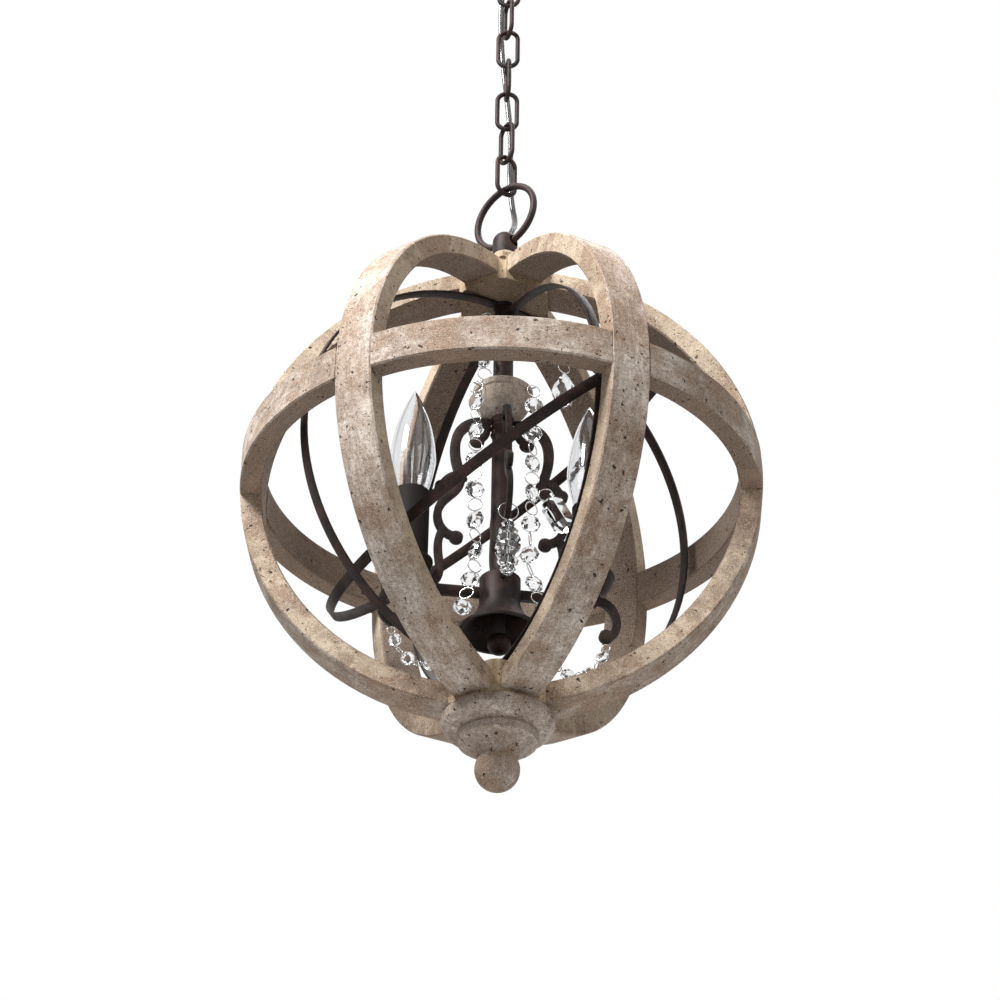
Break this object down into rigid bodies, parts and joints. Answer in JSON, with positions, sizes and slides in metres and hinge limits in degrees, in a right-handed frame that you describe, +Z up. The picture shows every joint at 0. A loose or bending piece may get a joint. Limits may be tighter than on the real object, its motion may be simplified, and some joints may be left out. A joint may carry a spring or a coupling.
{
  "type": "orb chandelier",
  "caption": "Round open cage of wooden ribs and a belt around iron hoops, scrolled arms with candle bulbs and hung crystals, on a chain from a ceiling canopy.",
  "frame": {"origin": "middle of the two ceiling screw slots, on the ceiling plane (the crossbar's top face)", "axes": "+Z up into the ceiling; -Y towards the viewer of the picture; +X to the right"},
  "size_m": [0.411, 0.41, 0.9084],
  "materials": {
    "washed_wood": "distressed whitewash over brown, matt",
    "cream_wood": "pale raw wood, matt",
    "rust_iron": "dark rust-brown textured paint",
    "steel": "plain zinc-plated steel",
    "black_sleeve": "dark brown, matt",
    "brass": "plain",
    "bulb_glass": "clear, smooth",
    "crystal": "clear, cut in facets",
    "cord_skin": "clear sheath over dark strands"
  },
  "bodies": {
    "ceiling": {"crossbar": "steel", "nipple": "steel", "nipple_locknut": "steel", "screw_loop": "rust_iron", "cord": "cord_skin"},
    "canopy": {"canopy": "rust_iron", "collar_ring": "rust_iron"},
    "link_1": {"chain_link_1": "rust_iron"},
    "link_2": {"chain_link_2": "rust_iron"},
    "link_3": {"chain_link_3": "rust_iron"},
    "link_4": {"chain_link_4": "rust_iron"},
    "link_5": {"chain_link_5": "rust_iron"},
    "link_6": {"chain_link_6": "rust_iron"},
    "link_7": {"chain_link_7": "rust_iron"},
    "link_8": {"chain_link_8": "rust_iron"},
    "ring": {"hanging_ring": "rust_iron"},
    "lamp": {"top_cap": "rust_iron", "wood_collar": "cream_wood", "top_hub": "cream_wood", "bottom_hub": "cream_wood", "rib_1": "washed_wood", "rib_2": "washed_wood", "rib_3": "washed_wood", "rib_4": "washed_wood", "rib_5": "washed_wood", "rib_6": "washed_wood", "belt_arc_1": "washed_wood", "belt_arc_2": "washed_wood", "belt_arc_3": "washed_wood", "belt_arc_4": "washed_wood", "belt_arc_5": "washed_wood", "belt_arc_6": "washed_wood", "finial": "cream_wood", "outer_hoop": "rust_iron", "inner_hoop": "rust_iron", "hoop_pins": "rust_iron", "hoop_spacers": "rust_iron", "finial_stud": "steel", "stud_nut": "steel", "centre_rod": "steel", "upper_column": "rust_iron", "wood_bowl": "cream_wood", "lower_column": "rust_iron", "bell": "rust_iron", "bell_locknut": "steel", "bell_nut": "rust_iron", "scroll_arm_left": "rust_iron", "scroll_arm_right": "rust_iron", "scroll_braces": "rust_iron", "candle_cups": "rust_iron", "candle_sleeves": "black_sleeve", "lampholders": "black_sleeve", "crystal_strings": "crystal"},
    "tilted_hoop": {"tilted_hoop": "rust_iron"},
    "bulb_left": {"bulb_cap_left": "brass", "bulb_glass_left": "bulb_glass"},
    "bulb_right": {"bulb_cap_right": "brass", "bulb_glass_right": "bulb_glass"},
    "front_pendant": {"pendant_front": "crystal"},
    "hoop_pendant": {"pendant_hoop": "crystal"}
  },
  "joints": [
    {"name": "canopy_slide", "type": "slide", "parent": "ceiling", "child": "canopy", "axis": [0, 0, -1], "range_m": [0, 0.02]},
    {"name": "link_1_swing", "type": "hinge", "parent": "ceiling", "child": "link_1", "pos_m": [0, 0, -0.053], "axis": [1, 0, 0], "range_deg": [-25, 25], "deforming": ["cord"]},
    {"name": "link_2_swing", "type": "hinge", "parent": "link_1", "child": "link_2", "pos_m": [0, 0, -0.0884], "axis": [0, -1, 0], "range_deg": [-25, 25], "deforming": ["cord"]},
    {"name": "link_3_swing", "type": "hinge", "parent": "link_2", "child": "link_3", "pos_m": [0, 0, -0.1248], "axis": [1, 0, 0], "range_deg": [-25, 25], "deforming": ["cord"]},
    {"name": "link_4_swing", "type": "hinge", "parent": "link_3", "child": "link_4", "pos_m": [0, 0, -0.1612], "axis": [0.342, -0.9397, 0], "range_deg": [-25, 25], "deforming": ["cord"]},
    {"name": "link_5_swing", "type": "hinge", "parent": "link_4", "child": "link_5", "pos_m": [0, 0, -0.1976], "axis": [0.9994, -0.0349, 0], "range_deg": [-25, 25], "deforming": ["cord"]},
    {"name": "link_6_swing", "type": "hinge", "parent": "link_5", "child": "link_6", "pos_m": [0, 0, -0.234], "axis": [0.1392, -0.9903, 0], "range_deg": [-25, 25], "deforming": ["cord"]},
    {"name": "link_7_swing", "type": "hinge", "parent": "link_6", "child": "link_7", "pos_m": [0, 0, -0.2704], "axis": [0.9994, 0.0349, 0], "range_deg": [-25, 25], "deforming": ["cord"]},
    {"name": "link_8_swing", "type": "hinge", "parent": "link_7", "child": "link_8", "pos_m": [0, 0, -0.3068], "axis": [0.5736, -0.8192, 0], "range_deg": [-25, 25], "deforming": ["cord"]},
    {"name": "ring_swing", "type": "hinge", "parent": "link_8", "child": "ring", "pos_m": [0, 0, -0.3432], "axis": [-0.866, -0.5, 0], "range_deg": [-25, 25], "deforming": ["cord"]},
    {"name": "lamp_swing", "type": "hinge", "parent": "ring", "child": "lamp", "pos_m": [0, 0, -0.3982], "axis": [0.7771, -0.6293, 0], "range_deg": [-15, 15], "deforming": ["cord"]},
    {"name": "hoop_tilt", "type": "hinge", "parent": "lamp", "child": "tilted_hoop", "pos_m": [0, 0, -0.6417], "axis": [0.4384, -0.8988, 0], "range_deg": [-86, 5]},
    {"name": "bulb_left_unscrew", "type": "slide", "parent": "lamp", "child": "bulb_left", "axis": [0, 0, 1], "range_m": [0, 0.03]},
    {"name": "bulb_right_unscrew", "type": "slide", "parent": "lamp", "child": "bulb_right", "axis": [0, 0, 1], "range_m": [0, 0.03]},
    {"name": "front_pendant_swing", "type": "hinge", "parent": "lamp", "child": "front_pendant", "pos_m": [0.00562, -0.04213, -0.6916], "axis": [0.1323, -0.9912, 0], "range_deg": [-35, 35]},
    {"name": "hoop_pendant_swing", "type": "hinge", "parent": "lamp", "child": "hoop_pendant", "pos_m": [0.05014, 0.03109, -0.4774], "axis": [0.8499, 0.527, 0], "range_deg": [-35, 35]}
  ]
}
